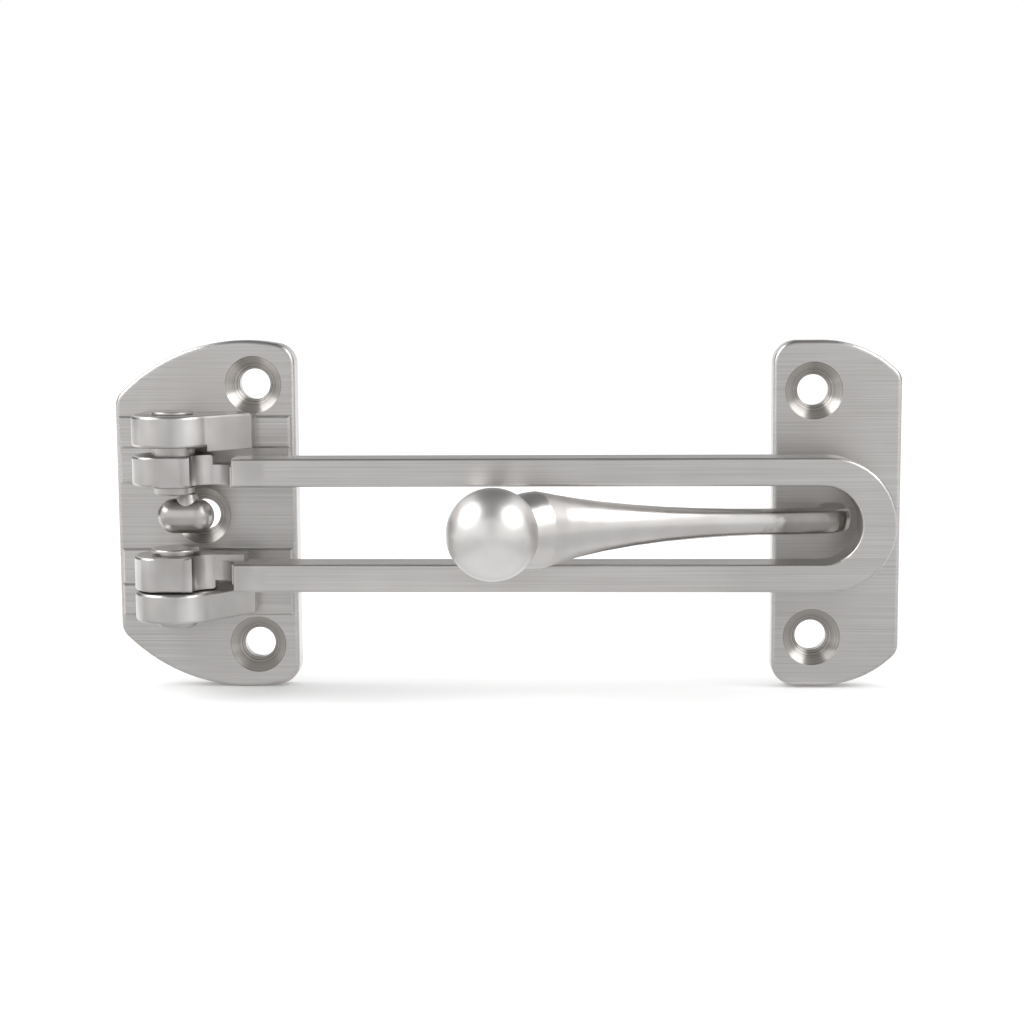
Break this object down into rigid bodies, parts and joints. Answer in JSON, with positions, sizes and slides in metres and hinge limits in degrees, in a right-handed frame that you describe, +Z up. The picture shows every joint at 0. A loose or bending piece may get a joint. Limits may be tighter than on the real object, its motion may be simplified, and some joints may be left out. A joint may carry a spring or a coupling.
{
  "type": "door guard",
  "caption": "Swing-bar door guard in satin nickel: a U-shaped bar hinged on a round-sided jamb plate, and a strike plate whose flared arm holds a ball in the bar's slot.",
  "frame": {"origin": "on the wall face (the plates' back), at the axis of the jamb plate's middle screw hole", "axes": "+X along the swing bar from the hinge to the loop, +Z up along the hinge pins, -Y out of the door towards the viewer"},
  "size_m": [0.1263, 0.0357, 0.0564],
  "materials": {
    "satin_nickel": "satin nickel",
    "brushed_nickel": "horizontally brushed nickel",
    "polished_nickel": "fine satin nickel, nearly polished"
  },
  "bodies": {
    "plates": {"jamb_plate": "brushed_nickel", "strike_plate": "brushed_nickel", "strike_arm": "satin_nickel", "strike_ball": "polished_nickel"},
    "bar": {"swing_bar": "satin_nickel", "upper_pin": "satin_nickel", "lower_pin": "satin_nickel", "upper_spacer": "satin_nickel", "upper_rivet_washer": "satin_nickel", "lower_rivet_washer": "satin_nickel", "stop_knob": "satin_nickel"}
  },
  "joints": [
    {"name": "bar_swing", "type": "hinge", "parent": "plates", "child": "bar", "pos_m": [-0.00275, -0.0126, 0], "axis": [0, 0, -1], "range_deg": [-3.5, 7.2]}
  ]
}
